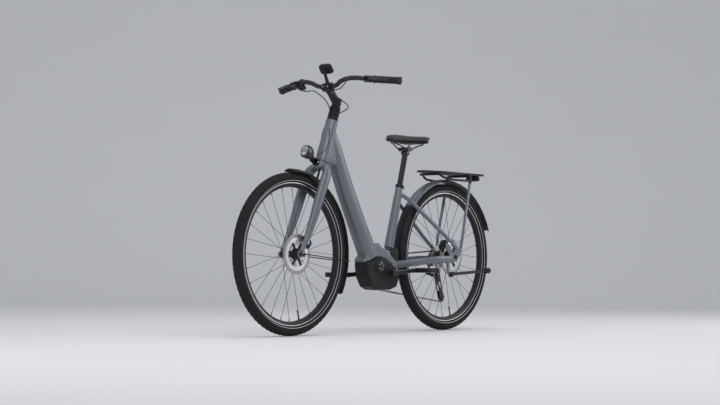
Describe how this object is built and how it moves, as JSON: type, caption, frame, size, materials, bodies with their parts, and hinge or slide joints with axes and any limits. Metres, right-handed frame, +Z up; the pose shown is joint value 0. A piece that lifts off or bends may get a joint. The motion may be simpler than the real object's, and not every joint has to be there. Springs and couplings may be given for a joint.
{
  "type": "step through bike",
  "caption": "Low-step city bicycle with a mid drive, disc-braked wheels, mudguards, rear rack, kickstand, derailleur gearing, lamps and a swept bar.",
  "frame": {"origin": "on the ground under the middle of the whole bicycle, in its plane of symmetry", "axes": "+X the way it rides, +Y to the rider's left, +Z up"},
  "size_m": [1.8594, 0.7242, 1.2261],
  "materials": {
    "framePaint": "satin slate grey paint",
    "black": "satin black anodised",
    "rubber": "matt",
    "tyre": "matt with a thin pale reflective line",
    "plastic": "fine texture",
    "steel": "bright",
    "alloy": "satin",
    "lens": "lamp shell with a clear front",
    "cushion": "soft stitched cover"
  },
  "bodies": {
    "frame": {"head_tube": "framePaint", "down_tube": "framePaint", "seat_tube": "framePaint", "chainstay_left": "framePaint", "chainstay_right": "framePaint", "seatstay_left": "framePaint", "seatstay_right": "framePaint", "seat_clamp": "black", "drive_motor": "plastic", "rack_platform": "black", "rack_frame": "framePaint", "rear_guard": "black", "rear_light": "plastic", "rear_caliper": "black", "rear_axle": "alloy", "derailleur_body": "alloy", "chain": "steel"},
    "steering": {"fork": "framePaint", "headset_cover": "plastic", "stem": "black", "handlebar": "black", "grip_left": "rubber", "grip_right": "rubber", "brake_clamp_left": "black", "brake_clamp_right": "black", "gear_shifter": "plastic", "headlight_bracket": "black", "front_guard": "black", "front_caliper": "black", "hose_left": "rubber", "hose_right": "rubber", "front_axle": "alloy"},
    "display_unit": {"display": "plastic"},
    "lamp": {"headlight": "lens"},
    "lever_left": {"brake_lever_left": "black"},
    "lever_right": {"brake_lever_right": "black"},
    "shift_paddle": {"shift_lever": "plastic"},
    "front_wheel": {"front_tyre": "tyre", "front_rim": "black", "front_hub": "alloy", "front_rotor": "steel"},
    "rear_wheel": {"rear_tyre": "tyre", "rear_rim": "black", "rear_hub": "alloy", "rear_rotor": "steel"},
    "sprockets": {"cassette": "steel"},
    "crankset": {"chainring": "black", "crank_left": "black", "crank_right": "black"},
    "pedal_l": {"pedal_left": "plastic"},
    "pedal_r": {"pedal_right": "plastic"},
    "stand": {"kickstand": "black"},
    "post": {"seatpost": "black"},
    "seat": {"saddle": "cushion", "saddle_rails": "steel"},
    "swing_link": {"derailleur_link": "alloy"},
    "swing_knuckle": {"derailleur_knuckle": "alloy"},
    "cage": {"derailleur_cage": "alloy"},
    "guide_wheel": {"guide_pulley": "plastic"},
    "tension_wheel": {"tension_pulley": "plastic"}
  },
  "joints": [
    {"name": "steer", "type": "hinge", "parent": "frame", "child": "steering", "pos_m": [0.52614, 0, 0.34522], "axis": [-0.3476, 0, 0.9376], "range_deg": [-60, 60]},
    {"name": "front_wheel_spin", "type": "hinge", "parent": "steering", "child": "front_wheel", "pos_m": [0.56871, 0, 0.361], "axis": [0, 1, 0], "continuous": true},
    {"name": "rear_wheel_spin", "type": "hinge", "parent": "frame", "child": "rear_wheel", "pos_m": [-0.56629, 0, 0.361], "axis": [0, 1, 0], "continuous": true},
    {"name": "crank_spin", "type": "hinge", "parent": "frame", "child": "crankset", "pos_m": [-0.08529, 0, 0.282], "axis": [0, 1, 0], "continuous": true},
    {"name": "cassette_spin", "type": "hinge", "parent": "frame", "child": "sprockets", "pos_m": [-0.56629, 0, 0.361], "axis": [0, 1, 0], "continuous": true},
    {"name": "pedal_left_spin", "type": "hinge", "parent": "crankset", "child": "pedal_l", "pos_m": [-0.25688, 0.1, 0.294], "axis": [0, 1, 0], "continuous": true},
    {"name": "pedal_right_spin", "type": "hinge", "parent": "crankset", "child": "pedal_r", "pos_m": [0.08629, -0.1, 0.27], "axis": [0, 1, 0], "continuous": true},
    {"name": "brake_left_pull", "type": "hinge", "parent": "steering", "child": "lever_left", "pos_m": [0.32305, 0.22334, 1.14782], "axis": [0, 0.0941, 0.9956], "range_deg": [0, 10], "stiffness_Nm_per_rad": 0.6, "springref_deg": -5.73},
    {"name": "brake_right_pull", "type": "hinge", "parent": "steering", "child": "lever_right", "pos_m": [0.32305, -0.22334, 1.14782], "axis": [0, 0.0941, -0.9956], "range_deg": [0, 10], "stiffness_Nm_per_rad": 0.6, "springref_deg": -5.73},
    {"name": "shift_push", "type": "hinge", "parent": "steering", "child": "shift_paddle", "pos_m": [0.31809, -0.16342, 1.12433], "axis": [0, -0.0941, 0.9956], "range_deg": [0, 16], "stiffness_Nm_per_rad": 0.3, "springref_deg": -5.73},
    {"name": "display_tilt", "type": "hinge", "parent": "steering", "child": "display_unit", "pos_m": [0.35067, 0, 1.19544], "axis": [0, 1, 0], "range_deg": [-5, 20]},
    {"name": "headlight_tilt", "type": "hinge", "parent": "steering", "child": "lamp", "pos_m": [0.43041, 0, 0.79712], "axis": [0, 1, 0], "range_deg": [-10, 10]},
    {"name": "kickstand_swing", "type": "hinge", "parent": "frame", "child": "stand", "pos_m": [-0.50729, 0.09, 0.272], "axis": [-0.064, -0.8731, -0.4833], "range_deg": [0, 120]},
    {"name": "seatpost_height", "type": "slide", "parent": "frame", "child": "post", "axis": [-0.2588, 0, 0.9659], "range_m": [-0.1, 0.05]},
    {"name": "saddle_tilt", "type": "hinge", "parent": "post", "child": "seat", "pos_m": [-0.25285, 0, 0.858], "axis": [0, 1, 0], "range_deg": [-6, 6]},
    {"name": "derailleur_shift", "type": "hinge", "parent": "frame", "child": "swing_link", "pos_m": [-0.56349, -0.085, 0.32298], "axis": [0.9831, 0, 0.1833], "range_deg": [-13, 22]},
    {"name": "derailleur_follow", "type": "hinge", "parent": "swing_link", "child": "swing_knuckle", "pos_m": [-0.55529, -0.085, 0.279], "axis": [0.9831, 0, 0.1833], "range_deg": [-23, 14]},
    {"name": "cage_swing", "type": "hinge", "parent": "swing_knuckle", "child": "cage", "pos_m": [-0.58129, -0.085, 0.271], "axis": [0, 1, 0], "range_deg": [-8, 30], "stiffness_Nm_per_rad": 0.4, "springref_deg": 1.15, "deforming": ["chain"]},
    {"name": "guide_pulley_spin", "type": "hinge", "parent": "cage", "child": "guide_wheel", "pos_m": [-0.58129, 0, 0.271], "axis": [0, 1, 0], "continuous": true},
    {"name": "tension_pulley_spin", "type": "hinge", "parent": "cage", "child": "tension_wheel", "pos_m": [-0.61429, 0, 0.161], "axis": [0, 1, 0], "continuous": true}
  ],
  "couplings": [
    {"joint": "cassette_spin", "follows": "crank_spin", "ratio": 2.5333},
    {"joint": "guide_pulley_spin", "follows": "crank_spin", "ratio": -3.4545},
    {"joint": "tension_pulley_spin", "follows": "crank_spin", "ratio": 3.4545},
    {"joint": "derailleur_follow", "follows": "derailleur_shift", "ratio": -1}
  ]
}
